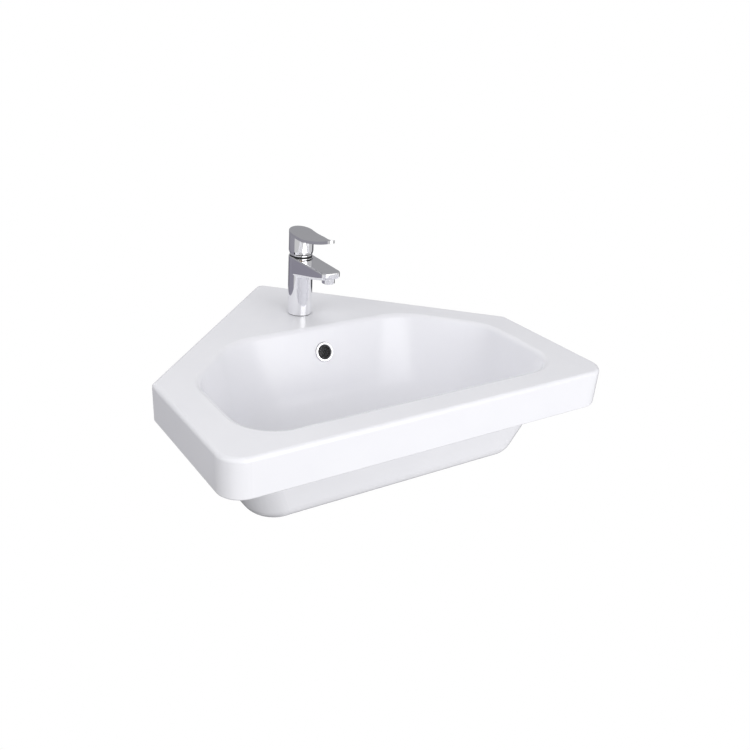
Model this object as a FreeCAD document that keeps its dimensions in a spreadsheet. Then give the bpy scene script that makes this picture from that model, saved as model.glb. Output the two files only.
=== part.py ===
"""Corner wash basin with a single lever mixer tap and a press-to-close waste.

Frame: millimetres, +Z up, front towards -Y. The origin is the point where the two walls
of the room meet, level with the top of the basin. The basin is symmetrical about X = 0.
"""
import FreeCAD, Part
import Sketcher
import math
import os
import re

document = FreeCAD.newDocument("corner_basin")
sizes = document.addObject("Spreadsheet::Sheet", "Sizes")
names = []
nodes = {}
ROOT_TWO = math.sqrt(2)


# ------------------------------------------------------------------ sheet and small helpers
def enter(table):
    """Write driving dimensions into the sheet, in millimetres or degrees."""
    for name, value in table.items():
        names.append(name)
        sizes.set(f"A{len(names)}", name)
        sizes.set(f"B{len(names)}", str(value))
        sizes.setAlias(f"B{len(names)}", name)


def formula(text):
    """Point the words of a formula at the sheet. Words before a bracket are functions."""
    return re.sub(r"\b([a-z]\w*)\b(?!\()", r"Sizes.\1", text)


def number(text):
    """The present value of a formula over the sheet."""
    sizes.recompute()
    return float(sizes.evalExpression(formula(text)))


def bind(feature, **links):
    """Tie properties of a feature to formulas over the sheet."""
    for name, text in links.items():
        feature.setExpression(name, formula(text))
    return feature


def place(feature, x="0", y="0", z="0"):
    """Tie the place of a feature to formulas over the sheet."""
    for axis, text in zip("xyz", (x, y, z)):
        feature.setExpression(f"Placement.Base.{axis}", formula(text))
    return feature


def turn(feature, axis, angle):
    """Turn a feature about an axis through its own base point, by a formula in degrees."""
    feature.Placement.Rotation = FreeCAD.Rotation(FreeCAD.Vector(*axis), number(angle))
    feature.setExpression("Placement.Rotation.Angle", formula(angle))
    return feature


def cylinder(name, radius, height, x="0", y="0", z="0"):
    feature = document.addObject("Part::Cylinder", name)
    bind(feature, Radius=radius, Height=height)
    return place(feature, x, y, z)


def cross_cylinder(name, radius, length, x="0", y="0", z="0", axis=(1, 0, 0)):
    """A cylinder that lies along Y if turned about X, or along X if turned about Y."""
    return turn(cylinder(name, radius, length, x, y, z), axis, "90")


def box(name, length, width, height, x="0", y="0", z="0"):
    """A block whose x and y name the middle of its footprint, and z its underside."""
    feature = document.addObject("Part::Box", name)
    bind(feature, Length=length, Width=width, Height=height)
    return place(feature, f"({x}) - ({length}) / 2", f"({y}) - ({width}) / 2", z)


def torus(name, ring_radius, wire_radius, x="0", y="0", z="0"):
    feature = document.addObject("Part::Torus", name)
    bind(feature, Radius1=ring_radius, Radius2=wire_radius)
    return place(feature, x, y, z)


def hexagon(name, across_flats, height, x="0", y="0", z="0"):
    feature = document.addObject("Part::Prism", name)
    feature.Polygon = 6
    bind(feature, Circumradius=f"({across_flats}) / sqrt(3)", Height=height)
    return place(feature, x, y, z)


def fuse(name, *features):
    feature = document.addObject("Part::MultiFuse", name)
    feature.Shapes = list(features)
    feature.Refine = True
    return feature


def common(name, *features):
    feature = document.addObject("Part::MultiCommon", name)
    feature.Shapes = list(features)
    return feature


def cut(name, base, *tools):
    """Take one or more tools away from a base."""
    feature = document.addObject("Part::Cut", name)
    feature.Base = base
    feature.Tool = tools[0] if len(tools) == 1 else fuse(name + "_tools", *tools)
    return feature


def body_sketch(name, plane_role):
    """A body of its own, with a sketch on one of its origin planes."""
    body = document.addObject("PartDesign::Body", name + "_body")
    sketch = body.newObject("Sketcher::SketchObject", name + "_sketch")
    plane = next(f for f in body.Origin.OriginFeatures if f.Role == plane_role)
    sketch.AttachmentSupport = [(plane, "")]
    sketch.MapMode = "FlatFace"
    return body, sketch


def draw_polygon(sketch, corners):
    """A closed outline whose corners are tied to formulas over the sheet."""
    count = len(corners)
    points = [FreeCAD.Vector(number(u), number(v), 0) for u, v in corners]
    for index in range(count):
        sketch.addGeometry(Part.LineSegment(points[index], points[(index + 1) % count]), False)
    for index in range(count):
        following = (index + 1) % count
        sketch.addConstraint(Sketcher.Constraint("Coincident", index, 2, following, 1))
    for index, corner in enumerate(corners):
        for kind, text in zip(("DistanceX", "DistanceY"), corner):
            constraint = Sketcher.Constraint(kind, -1, 1, index, 1, number(text))
            position = sketch.addConstraint(constraint)
            sketch.setExpression(f"Constraints[{position}]", formula(text))


def turned(name, profile, x="0", y="0", z="0"):
    """A turned piece: a profile of (radius, height) corners spun round the upright axis."""
    body, sketch = body_sketch(name, "XZ_Plane")
    draw_polygon(sketch, profile)
    spin = body.newObject("PartDesign::Revolution", name + "_spin")
    spin.Profile = sketch
    spin.ReferenceAxis = (sketch, ["V_Axis"])
    spin.Angle = 360
    return place(body, x, y, z)


def extruded(name, corners, depth, plane_role, x="0", y="0", z="0"):
    """A straight piece: an outline on an origin plane, padded to both sides of it."""
    body, sketch = body_sketch(name, plane_role)
    draw_polygon(sketch, corners)
    pad = body.newObject("PartDesign::Pad", name + "_pad")
    pad.Profile = sketch
    pad.Midplane = True
    bind(pad, Length=depth)
    return place(body, x, y, z)


def solid(name, shape):
    """A feature whose shape is made directly, from sizes read out of the sheet."""
    feature = document.addObject("Part::Feature", name)
    feature.Shape = shape
    return feature


def loft(name, *wires):
    """A straight-sided solid through a row of outlines."""
    feature = document.addObject("Part::Loft", name)
    feature.Sections = [solid(f"{name}_section_{i}", wire) for i, wire in enumerate(wires)]
    feature.Solid = True
    feature.Ruled = True
    return feature


def rounded(name, feature, radius, chosen):
    """Round the edges of a feature that a test picks out."""
    document.recompute()
    result = document.addObject("Part::Fillet", name)
    result.Base = feature
    amount = number(radius)
    edges = enumerate(feature.Shape.Edges, start=1)
    result.Edges = [(index, amount, amount) for index, edge in edges if chosen(edge)]
    return result


def node(name, feature):
    """Keep a feature as one named piece of the assembly."""
    feature.Label = name
    nodes[name] = feature
    return feature


def rounded_outline(corners, radii, height):
    """A level outline of straight sides joined by tangent arcs, or sharp where a radius is 0."""
    count = len(corners)
    points = [FreeCAD.Vector(x, y, height) for x, y in corners]
    ends = []
    for index in range(count):
        corner = points[index]
        back = (points[index - 1] - corner).normalize()
        ahead = (points[(index + 1) % count] - corner).normalize()
        half_angle = back.getAngle(ahead) / 2
        reach = radii[index] / math.tan(half_angle)
        inward = (back + ahead).normalize()
        middle = corner + inward * (radii[index] / math.sin(half_angle) - radii[index])
        ends.append((corner + back * reach, middle, corner + ahead * reach))
    edges = []
    for index in range(count):
        start, middle, finish = ends[index]
        if radii[index] > 0:
            edges.append(Part.Arc(start, middle, finish).toShape())
        edges.append(Part.LineSegment(finish, ends[(index + 1) % count][0]).toShape())
    return Part.Wire(edges)


# ------------------------------------------------------------------ basin: one glazed casting
BASIN = {
    "basin_width": 600,
    "basin_depth": 533,
    "rim_height": 56,
    "rim_draft": 1.5,
    "front_corner_radius": 32,
    "wall_end_radius": 8,
    "back_corner_radius": 12,
    "deck_edge_radius": 5.5,
    "rim_foot_radius": 2.5,
    "deck_thickness": 13,
    "apron_thickness": 12,
    "wall_flange_thickness": 14,
    "front_land": 43.5,
    "side_land": 52,
    "wall_land": 48,
    "opening_from_corner": 216,
    "opening_front_radius": 58,
    "opening_side_radius": 80,
    "opening_back_radius": 90,
    "floor_front_radius": 60,
    "floor_side_radius": 66,
    "floor_back_radius": 150,
    "front_wall_angle": 20,
    "side_wall_angle": 15,
    "diagonal_wall_angle": 19.5,
    "back_wall_angle": 22,
    "bowl_depth": 143,
    "floor_fall": 3,
    "floor_radius": 80,
    "lip_radius": 9,
    "bowl_thickness": 12,
    "front_bowl_thickness": 9,
    "floor_thickness": 17,
    "skirt_front_angle": 13,
    "skirt_side_setback": 42,
    "skirt_side_angle": 22,
    "skirt_corner_radius": 46,
    "skirt_foot_radius": 30,
    "waste_from_corner": 355,
    "waste_hole_radius": 23,
    "waste_recess_radius": 33,
    "waste_recess_depth": 3,
    "floor_cone_spread": 3.5,
    "waste_boss_radius": 38,
    "waste_boss_height": 40,
    "overflow_chamber_radius": 31,
    "overflow_chamber_height": 14,
    "overflow_depth": 37,
    "overflow_hole_radius": 13,
    "duct_width": 40,
    "duct_gap": 14,
    "duct_wall": 10,
    "duct_top_depth": 22,
    "tap_from_corner": 148.5,
    "tap_hole_radius": 16.5,
    "wall_bolt_from_corner": 205,
    "wall_bolt_depth": 30,
    "wall_bolt_radius": 7,
}
enter(BASIN)


def rim_outline(height, front_inset, wall_inset, radii):
    """The five-sided plan of the basin, drawn in from its front, sides and walls."""
    half_width = number("basin_width") / 2 - front_inset
    front = front_inset - number("basin_depth")
    wall_end = -half_width - wall_inset * ROOT_TWO
    corners = [
        (half_width, front),
        (half_width, wall_end),
        (0, -wall_inset * ROOT_TWO),
        (-half_width, wall_end),
        (-half_width, front),
    ]
    front_radius, end_radius, back_radius = radii
    corner_radii = [front_radius, end_radius, back_radius, end_radius, front_radius]
    return rounded_outline(corners, corner_radii, height)


def bowl_outline(height, front, side, wall, back, radii):
    """A six-sided outline at given distances from the front, sides, walls and corner."""
    half_width = number("basin_width") / 2 - side
    front_line = front - number("basin_depth")
    wall_shift = wall * ROOT_TWO
    right = [
        (half_width, front_line),
        (half_width, -half_width - wall_shift),
        (back - wall_shift, -back),
    ]
    left = [(-x, y) for x, y in reversed(right)]
    return rounded_outline(right + left, list(radii) + list(reversed(radii)), height)


def bowl_inside(depth, radii):
    """The inside of the bowl at a depth below the deck."""
    return bowl_outline(
        -depth,
        number("front_land") + depth * number("tan(front_wall_angle)"),
        number("side_land") + depth * number("tan(side_wall_angle)"),
        number("wall_land") + depth * number("tan(diagonal_wall_angle)"),
        number("opening_from_corner") + depth * number("tan(back_wall_angle)"),
        radii,
    )


def bowl_outside(depth, front, side):
    """The outside of the bowl, whose back follows the inside at the wall's thickness."""
    thickness = number("bowl_thickness")
    back = number("opening_from_corner") + depth * number("tan(back_wall_angle)")
    wall = number("wall_land") + depth * number("tan(diagonal_wall_angle)")
    radii = [number("skirt_corner_radius")] * 3
    return bowl_outline(-depth, front, side, wall - thickness, back - thickness, radii)


def drafted_outline(height, inset):
    """The front and sides of the basin, drawn in from them and running on past the walls."""
    half_width = number("basin_width") / 2 - inset
    front = inset - number("basin_depth")
    corners = [(half_width, front), (half_width, 10), (-half_width, 10), (-half_width, front)]
    radius = number("front_corner_radius")
    return rounded_outline(corners, [radius, 0, 0, radius], height)


# The rim block: deck on top, drafted front and sides, upright flat faces against the walls.
rim_height = number("rim_height")
rim_drafted = loft(
    "rim_drafted",
    drafted_outline(0, 0),
    drafted_outline(-rim_height, number("rim_draft")),
)
between_walls = extruded(
    "between_walls",
    [("0", "0"), ("-basin_width", "-basin_width"), ("basin_width", "-basin_width")],
    "rim_height * 3",
    "XY_Plane",
)
rim_block = common("rim_block", rim_drafted, between_walls)


def at_wall_ends(edge):
    """The upright edges where the sides meet the walls."""
    limits = edge.BoundBox
    reach = max(abs(limits.XMin), abs(limits.XMax))
    return limits.ZLength > rim_height - 1 and reach > number("basin_width / 2 - 5") and (
        limits.YMax > -number("basin_width / 2 + 5")
    )


def at_room_corner(edge):
    """The upright edge in the corner of the room."""
    limits = edge.BoundBox
    return limits.ZLength > rim_height - 1 and max(abs(limits.XMin), abs(limits.XMax)) < 1


rim_ended = rounded("rim_ended", rim_block, "wall_end_radius", at_wall_ends)
rim_cornered = rounded("rim_cornered", rim_ended, "back_corner_radius", at_room_corner)


def level_at(height):
    """A test for edges that lie at one height."""
    return lambda edge: all(abs(v.Z - height) < 0.01 for v in edge.Vertexes)


rim_eased = rounded("rim_eased", rim_cornered, "deck_edge_radius", level_at(0))
rim_soft = rounded("rim_soft", rim_eased, "rim_foot_radius", level_at(-rim_height))

# The hollow under the rim leaves the deck, the apron and the two wall flanges.
apron = number("apron_thickness")
flange = number("wall_flange_thickness")
hollow_radii = [
    number("front_corner_radius - apron_thickness"),
    number("wall_end_radius"),
    number("back_corner_radius"),
]
rim_hollow = loft(
    "rim_hollow",
    rim_outline(-number("deck_thickness"), apron, flange, hollow_radii),
    rim_outline(-rim_height - 1, apron, flange, hollow_radii),
)
rim_shell = cut("rim_shell", rim_soft, rim_hollow)

# The bowl's outer shell hangs from the deck and shows below the rim.
shell_depth = number("bowl_depth + floor_thickness")
shell_top = number("deck_thickness / 2")
skirt_front = number("front_land + rim_height * tan(front_wall_angle) - front_bowl_thickness")
skirt_side = number("skirt_side_setback")
skirt_drop = shell_depth - rim_height
bowl_shell_plain = loft(
    "bowl_shell_plain",
    bowl_outside(
        shell_top,
        number("front_land - front_bowl_thickness"),
        number("side_land - bowl_thickness"),
    ),
    bowl_outside(rim_height, skirt_front, skirt_side),
    bowl_outside(
        shell_depth,
        skirt_front + skirt_drop * number("tan(skirt_front_angle)"),
        skirt_side + skirt_drop * number("tan(skirt_side_angle)"),
    ),
)
bowl_shell = rounded(
    "bowl_shell", bowl_shell_plain, "skirt_foot_radius", level_at(-shell_depth)
)

# The waste boss and the overflow duct are cast under and behind the bowl.
boss_foot = "-(bowl_depth + waste_boss_height)"
waste_boss = cylinder(
    "waste_boss",
    "waste_boss_radius",
    "waste_boss_height",
    y="-waste_from_corner",
    z=boss_foot,
)


def back_wall_y(depth):
    """Formula for the inside of the back wall at a depth."""
    return f"-(opening_from_corner + ({depth}) * tan(back_wall_angle))"


duct_foot = "bowl_depth + waste_boss_height - duct_wall"
duct_roof = "bowl_depth + floor_thickness"
duct_outside = extruded(
    "duct_outside",
    [
        (back_wall_y("deck_thickness"), "-deck_thickness / 2"),
        (
            back_wall_y("deck_thickness") + " + bowl_thickness + duct_gap + duct_wall",
            "-deck_thickness / 2",
        ),
        (back_wall_y(duct_roof) + " + bowl_thickness + duct_gap + duct_wall", f"-({duct_roof})"),
        (back_wall_y(duct_roof) + " + bowl_thickness + duct_gap", boss_foot),
        ("-waste_from_corner", boss_foot),
        ("-waste_from_corner", "-bowl_depth - duct_wall"),
        (back_wall_y("bowl_depth"), "-bowl_depth - duct_wall"),
    ],
    "duct_width + 2 * duct_wall",
    "YZ_Plane",
)
duct_inside = extruded(
    "duct_inside",
    [
        (back_wall_y("duct_top_depth") + " + bowl_thickness", "-duct_top_depth"),
        (back_wall_y("duct_top_depth") + " + bowl_thickness + duct_gap", "-duct_top_depth"),
        (back_wall_y(duct_roof) + " + bowl_thickness + duct_gap", f"-({duct_roof})"),
        (back_wall_y(duct_roof) + " + bowl_thickness", f"-({duct_foot})"),
        ("-waste_from_corner + waste_hole_radius", f"-({duct_foot})"),
        ("-waste_from_corner + waste_hole_radius", f"-({duct_roof})"),
        (back_wall_y(duct_roof) + " + bowl_thickness", f"-({duct_roof})"),
    ],
    "duct_width",
    "YZ_Plane",
)
basin_solid = fuse("basin_solid", rim_shell, bowl_shell, waste_boss, duct_outside)

# The bowl itself: sloping walls, a soft turn into the floor and a fall to the waste.
opening_radii = [
    number("opening_front_radius"),
    number("opening_side_radius"),
    number("opening_back_radius"),
]
floor_radii = [
    number("floor_front_radius"),
    number("floor_side_radius"),
    number("floor_back_radius"),
]
floor_level = number("bowl_depth - floor_fall")
bowl_plain = loft(
    "bowl_plain", bowl_inside(0, opening_radii), bowl_inside(floor_level, floor_radii)
)
bowl_space = rounded("bowl_space", bowl_plain, "floor_radius", level_at(-floor_level))
basin_bowled = cut("basin_bowled", basin_solid, bowl_space)


def on_bowl_lip(edge):
    """The deck's inner edge, clear of the outer one."""
    level = all(abs(v.Z) < 0.01 for v in edge.Vertexes)
    box_size = edge.BoundBox
    reach = max(abs(box_size.XMin), abs(box_size.XMax))
    inside = reach < number("basin_width / 2 - side_land / 2")
    behind_front = box_size.YMin > number("front_land / 2 - basin_depth")
    before_walls = box_size.YMax < -number("opening_from_corner") + 1
    return level and inside and behind_front and before_walls


basin_lipped = rounded("basin_lipped", basin_bowled, "lip_radius", on_bowl_lip)

# Holes: waste with its recess and overflow chamber, overflow, tap and wall bolts.
floor_cone = document.addObject("Part::Cone", "floor_cone")
bind(
    floor_cone,
    Radius1="waste_recess_radius",
    Radius2="waste_recess_radius + floor_cone_spread * (floor_fall + 1) / floor_fall",
    Height="floor_fall + 1",
)
place(floor_cone, y="-waste_from_corner", z="-bowl_depth")
waste_recess = cylinder(
    "waste_recess",
    "waste_recess_radius",
    "waste_recess_depth + floor_fall",
    y="-waste_from_corner",
    z="-bowl_depth - waste_recess_depth",
)
waste_hole = cylinder(
    "waste_hole",
    "waste_hole_radius",
    "waste_boss_height + 2",
    y="-waste_from_corner",
    z=boss_foot + " - 1",
)
overflow_chamber = cylinder(
    "overflow_chamber",
    "overflow_chamber_radius",
    "overflow_chamber_height",
    y="-waste_from_corner",
    z=f"-({duct_foot})",
)
overflow_hole = turn(
    cylinder(
        "overflow_hole",
        "overflow_hole_radius",
        "bowl_thickness * 2",
        y=back_wall_y("overflow_depth") + " + (bowl_thickness + 2) * cos(back_wall_angle)",
        z="-overflow_depth - (bowl_thickness + 2) * sin(back_wall_angle)",
    ),
    (1, 0, 0),
    "90 - back_wall_angle",
)
tap_hole = cylinder(
    "tap_hole",
    "tap_hole_radius",
    "deck_thickness + 2",
    y="-tap_from_corner",
    z="-deck_thickness - 1",
)


def wall_bolt_hole(name, side):
    """A hole through a wall flange, square to the wall on that side."""
    along = "wall_bolt_from_corner / sqrt(2)"
    step_in = "wall_flange_thickness * 1.5 / sqrt(2)"
    hole = cylinder(name, "wall_bolt_radius", "wall_flange_thickness * 2")
    place(hole, f"{side} * ({along} - {step_in})", f"-{along} - {step_in}", "-wall_bolt_depth")
    outward = FreeCAD.Vector(side, 1, 0).normalize()
    hole.Placement.Rotation = FreeCAD.Rotation(FreeCAD.Vector(0, 0, 1), outward)
    return hole


basin = cut(
    "basin_finished",
    basin_lipped,
    floor_cone,
    waste_recess,
    waste_hole,
    overflow_chamber,
    duct_inside,
    overflow_hole,
    tap_hole,
    wall_bolt_hole("right_bolt_hole", 1),
    wall_bolt_hole("left_bolt_hole", -1),
)
node("basin", basin)

# ------------------------------------------------------------------ overflow: ring and strainer
OVERFLOW = {
    "ring_radius": 15.5,
    "ring_thickness": 2,
    "ring_bore_radius": 11.3,
    "ring_neck_length": 9,
    "press_clearance": 0.3,
    "strainer_wall": 1.1,
    "strainer_disc": 1.2,
    "strainer_hole_radius": 1.5,
    "strainer_inner_ring": 4,
    "strainer_outer_ring": 7.8,
}
enter(OVERFLOW)

overflow_ring = turned(
    "overflow_ring_blank",
    [
        ("ring_bore_radius", "-ring_neck_length"),
        ("overflow_hole_radius - press_clearance", "-ring_neck_length"),
        ("overflow_hole_radius - press_clearance", "0"),
        ("ring_radius", "0"),
        ("ring_radius", "ring_thickness * 0.4"),
        ("ring_radius - ring_thickness * 0.6", "ring_thickness"),
        ("ring_bore_radius + ring_thickness * 0.4", "ring_thickness"),
        ("ring_bore_radius", "ring_thickness * 0.6"),
    ],
    y=back_wall_y("overflow_depth"),
    z="-overflow_depth",
)
node("overflow_ring", turn(overflow_ring, (1, 0, 0), "90 - back_wall_angle"))

strainer_outside = "(ring_bore_radius - 0.05)"
strainer_blank = turned(
    "strainer_blank",
    [
        ("0", "0"),
        (f"{strainer_outside} - strainer_wall", "0"),
        (f"{strainer_outside} - strainer_wall", "-ring_neck_length"),
        (strainer_outside, "-ring_neck_length"),
        (strainer_outside, "strainer_disc"),
        ("0", "strainer_disc"),
    ],
)
strainer_holes = [cylinder("strainer_middle", "strainer_hole_radius", "strainer_disc + 2", z="-1")]
hole_directions = {"inner": range(0, 360, 60), "outer": range(0, 360, 30)}
for ring_name, directions in hole_directions.items():
    for angle in directions:
        strainer_holes.append(
            cylinder(
                f"strainer_{ring_name}_{angle}",
                "strainer_hole_radius",
                "strainer_disc + 2",
                x=f"strainer_{ring_name}_ring * cos({angle})",
                y=f"strainer_{ring_name}_ring * sin({angle})",
                z="-1",
            )
        )
strainer = cut("strainer_pierced", strainer_blank, *strainer_holes)
place(strainer, y=back_wall_y("overflow_depth"), z="-overflow_depth")
node("overflow_strainer", turn(strainer, (1, 0, 0), "90 - back_wall_angle"))

# ------------------------------------------------------------------ waste: heights from its seat
WASTE = {
    "thread_clearance": 0.05,
    "moving_clearance": 0.3,
    "waste_tail_radius": 20.955,
    "waste_tail_bore": 18.2,
    "waste_length": 63,
    "waste_flange_radius": 31,
    "waste_flange_thickness": 2.5,
    "waste_seal_thickness": 1.5,
    "waste_slot_width": 11,
    "waste_slot_height": 10,
    "bridge_depth": 28,
    "bridge_width": 7,
    "bridge_height": 5,
    "hub_radius": 9,
    "hub_height": 10,
    "sleeve_radius": 6,
    "sleeve_bore": 4.3,
    "sleeve_length": 32,
    "sleeve_floor": 2,
    "spring_length": 13,
    "spring_radius": 3.2,
    "spring_wire": 1,
    "plug_thread_radius": 2.5,
    "plug_radius": 31.5,
    "plug_rim_thickness": 2.6,
    "plug_dome_rise": 2.4,
    "plug_seal_inner": 22,
    "plug_seal_width": 4.5,
    "plug_seal_thickness": 1.7,
    "lower_seal_thickness": 3.5,
    "slip_washer_thickness": 1,
    "back_nut_flats": 52,
    "back_nut_height": 9,
}
enter(WASTE)

at_waste = dict(y="-waste_from_corner", z="-bowl_depth - waste_recess_depth")
flange_top = "(waste_seal_thickness + waste_flange_thickness)"
tail_foot = f"({flange_top} - waste_length)"
boss_under = "(waste_recess_depth - waste_boss_height)"
washer_foot = f"({boss_under} - lower_seal_thickness - slip_washer_thickness)"
nut_foot = f"({washer_foot} - back_nut_height)"


def waste_level(height):
    """A height over the seat of the waste, given in the frame of the basin."""
    return f"({height}) - bowl_depth - waste_recess_depth"


waste_blank = turned(
    "waste_blank",
    [
        ("waste_tail_bore", tail_foot),
        ("waste_tail_radius", tail_foot),
        ("waste_tail_radius", f"{nut_foot} - 2"),
        ("waste_tail_radius - 0.6", f"{nut_foot} - 2"),
        ("waste_tail_radius - 0.6", f"{nut_foot} - 1"),
        ("waste_tail_radius", f"{nut_foot} - 1"),
        ("waste_tail_radius", "waste_seal_thickness"),
        ("waste_flange_radius", "waste_seal_thickness"),
        ("waste_flange_radius", f"{flange_top} - waste_flange_thickness * 0.4"),
        ("waste_flange_radius - waste_flange_thickness * 0.4", flange_top),
        ("waste_tail_bore + waste_flange_thickness", flange_top),
        ("waste_tail_bore", "waste_seal_thickness"),
    ],
    **at_waste,
)
slot_lift = "duct_wall + (overflow_chamber_height - waste_slot_height) / 2"
slot_foot = waste_level(f"{boss_under} + {slot_lift}")
slots = [
    box(
        "waste_slot_across",
        "waste_tail_radius * 2 + 2",
        "waste_slot_width",
        "waste_slot_height",
        y="-waste_from_corner",
        z=slot_foot,
    ),
    box(
        "waste_slot_along",
        "waste_slot_width",
        "waste_tail_radius * 2 + 2",
        "waste_slot_height",
        y="-waste_from_corner",
        z=slot_foot,
    ),
]
bridge = box(
    "waste_bridge",
    "waste_tail_bore * 2 + 1",
    "bridge_width",
    "bridge_height",
    y="-waste_from_corner",
    z=waste_level("-bridge_depth - bridge_height"),
)
hub = cylinder(
    "waste_hub",
    "hub_radius",
    "hub_height",
    y="-waste_from_corner",
    z=waste_level("-bridge_depth - hub_height"),
)
hub_bore = cylinder(
    "waste_hub_bore",
    "sleeve_radius + thread_clearance",
    "hub_height + 2",
    y="-waste_from_corner",
    z=waste_level("-bridge_depth - hub_height - 1"),
)
waste_slotted = cut("waste_slotted", waste_blank, *slots)
waste_joined = fuse("waste_joined", waste_slotted, bridge, hub)
node("waste_body", cut("waste_bridged", waste_joined, hub_bore))


def ring(name, inner, outer, foot, height, **where):
    """A flat ring of square section."""
    corners = [
        (inner, foot),
        (outer, foot),
        (outer, f"({foot}) + {height}"),
        (inner, f"({foot}) + {height}"),
    ]
    return turned(name, corners, **where)


tail_bore = "waste_tail_radius + thread_clearance"
node(
    "waste_top_seal",
    ring("top_seal", tail_bore, "waste_flange_radius - 1", "0", "waste_seal_thickness", **at_waste),
)
node(
    "waste_lower_seal",
    turned(
        "lower_seal",
        [
            (tail_bore, f"{boss_under} - lower_seal_thickness"),
            ("waste_tail_radius + 6", f"{boss_under} - lower_seal_thickness"),
            ("waste_tail_radius + 11", f"{boss_under} - lower_seal_thickness / 2"),
            ("waste_tail_radius + 11", boss_under),
            (tail_bore, boss_under),
        ],
        **at_waste,
    ),
)
node(
    "waste_slip_washer",
    ring(
        "slip_washer",
        tail_bore,
        "back_nut_flats / 2",
        washer_foot,
        "slip_washer_thickness",
        **at_waste,
    ),
)
back_nut_blank = hexagon(
    "back_nut_blank",
    "back_nut_flats",
    "back_nut_height",
    y="-waste_from_corner",
    z=waste_level(nut_foot),
)
back_nut_bore = cylinder(
    "back_nut_bore",
    tail_bore,
    "back_nut_height + 2",
    y="-waste_from_corner",
    z=waste_level(f"{nut_foot} - 1"),
)
node("waste_back_nut", cut("back_nut", back_nut_blank, back_nut_bore))

# The click sleeve hangs in the hub and holds the spring that lifts the plug.
sleeve_foot = "(-bridge_depth - hub_height)"
sleeve_top = f"({sleeve_foot} + sleeve_length)"
spring_foot = f"({sleeve_foot} + sleeve_floor)"
stem_foot = f"({spring_foot} + spring_length)"
node(
    "click_sleeve",
    turned(
        "sleeve",
        [
            ("0", sleeve_foot),
            ("sleeve_radius", sleeve_foot),
            ("sleeve_radius", "-bridge_depth"),
            ("sleeve_radius + 2", "-bridge_depth"),
            ("sleeve_radius + 2", "-bridge_depth + 2"),
            ("sleeve_radius", "-bridge_depth + 2"),
            ("sleeve_radius", sleeve_top),
            ("sleeve_bore", sleeve_top),
            ("sleeve_bore", spring_foot),
            ("0", spring_foot),
        ],
        **at_waste,
    ),
)


def coil(radius, wire, length, turns):
    """One unbroken round wire, wound as a spring from the level z = 0."""
    rise = length - wire
    path = Part.makeHelix(rise / turns, rise, radius)
    path.translate(FreeCAD.Vector(0, 0, wire / 2))
    start = path.Edges[0].valueAt(path.Edges[0].FirstParameter)
    along = path.Edges[0].tangentAt(path.Edges[0].FirstParameter)
    profile = Part.Wire(Part.makeCircle(wire / 2, start, along))
    return path.makePipeShell([profile], True, True)


spring = solid(
    "spring",
    coil(number("spring_radius"), number("spring_wire"), number("spring_length"), 6),
)
node("click_spring", place(spring, "0", "-waste_from_corner", waste_level(spring_foot)))

plug_under = f"({flange_top} + moving_clearance + plug_seal_thickness * 0.4)"
plug_boss = f"({stem_foot} + 21)"
thread_top = f"({plug_under} - 1)"
node(
    "plug_stem",
    turned(
        "stem",
        [
            ("0", stem_foot),
            ("sleeve_bore - moving_clearance", stem_foot),
            ("sleeve_bore - moving_clearance", plug_boss),
            ("plug_thread_radius", plug_boss),
            ("plug_thread_radius", thread_top),
            ("0", thread_top),
        ],
        **at_waste,
    ),
)
seal_groove_roof = f"({plug_under} + plug_seal_thickness * 0.6)"
seal_outer = "(plug_seal_inner + plug_seal_width)"
plug_top = f"({plug_under} + plug_rim_thickness + plug_dome_rise)"
plug_blank = turned(
    "plug_blank",
    [
        ("0", thread_top),
        ("plug_thread_radius + thread_clearance", thread_top),
        ("plug_thread_radius + thread_clearance", plug_boss),
        ("sleeve_radius", plug_boss),
        ("sleeve_radius", plug_under),
        ("plug_seal_inner - 0.1", plug_under),
        ("plug_seal_inner - 0.1", seal_groove_roof),
        (f"{seal_outer} + 0.1", seal_groove_roof),
        (f"{seal_outer} + 0.1", plug_under),
        ("plug_radius - 0.8", plug_under),
        ("plug_radius", f"{plug_under} + 0.8"),
        ("plug_radius", plug_top),
        ("0", plug_top),
    ],
    **at_waste,
)
dome_radius = "(plug_radius * plug_radius / (2 * plug_dome_rise))"
plug_dome = document.addObject("Part::Sphere", "plug_dome")
bind(plug_dome, Radius=dome_radius)
place(plug_dome, y="-waste_from_corner", z=waste_level(f"{plug_top} - {dome_radius}"))
node("plug_cap", common("plug_domed", plug_blank, plug_dome))
node(
    "plug_seal",
    ring(
        "seal",
        "plug_seal_inner",
        seal_outer,
        f"{flange_top} + moving_clearance",
        "plug_seal_thickness",
        **at_waste,
    ),
)

# ------------------------------------------------------------------ mixer tap: heights from the deck
TAP = {
    "base_gasket_thickness": 1,
    "base_gasket_width": 2.2,
    "tap_radius": 19.1,
    "tap_height": 94.6,
    "tap_edge": 0.8,
    "spout_reach": 97.5,
    "spout_root_half_width": 18.6,
    "spout_tip_half_width": 16.1,
    "spout_tip_thickness": 9.8,
    "spout_root_thickness": 36,
    "spout_corner_radius": 9,
    "spout_edge_radius": 1.8,
    "spout_nose_radius": 5,
    "spout_root_radius": 12,
    "lock_thread_radius": 14.2,
    "lock_thread_depth": 10.6,
    "chamber_radius": 12.8,
    "chamber_depth": 31,
    "port_half_spacing": 7.4,
    "port_radius": 4.5,
    "port_depth": 13,
    "port_back": 3.5,
    "channel_half_spacing": 5.2,
    "channel_radius": 2,
    "stud_front": 12.5,
    "stud_radius": 3,
    "stud_length": 59,
    "waterway_width": 12,
    "waterway_height": 3,
    "waterway_cover": 3.2,
    "waterway_angle": 9,
    "aerator_reach": 85.6,
    "aerator_radius": 9.7,
    "aerator_thread_radius": 9,
    "aerator_thread_length": 3.2,
    "aerator_seat_depth": 9.6,
    "aerator_drop": 8.8,
    "aerator_wall": 1.2,
    "aerator_seal_thickness": 0.8,
}
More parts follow.
